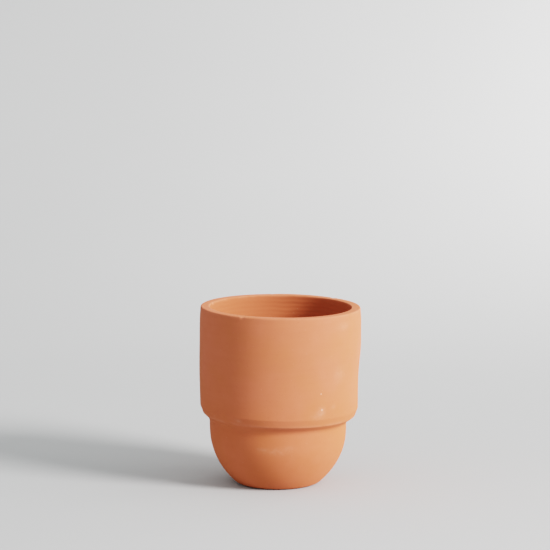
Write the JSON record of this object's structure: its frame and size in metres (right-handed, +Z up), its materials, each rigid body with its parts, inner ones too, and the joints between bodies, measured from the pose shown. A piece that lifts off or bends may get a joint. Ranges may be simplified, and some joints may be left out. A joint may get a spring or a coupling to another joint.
{
  "type": "terracotta pot",
  "caption": "Unglazed terracotta plant pot: straight round collar with a flat rim, stepping in to a rounded bowl with a flat foot and a drain hole.",
  "frame": {"origin": "on the pot's vertical axis, at the level of the flat foot", "axes": "+Z up along the pot's axis, from the foot to the mouth; the pot is round, so +X and +Y are any two level directions at right angles"},
  "size_m": [0.13, 0.13, 0.144],
  "materials": {
    "terracotta": "unglazed fired clay, dry and matte, with faint throwing marks and pale lime bloom"
  },
  "bodies": {
    "root": {"upper_collar": "terracotta", "lower_bowl": "terracotta"}
  },
  "joints": []
}
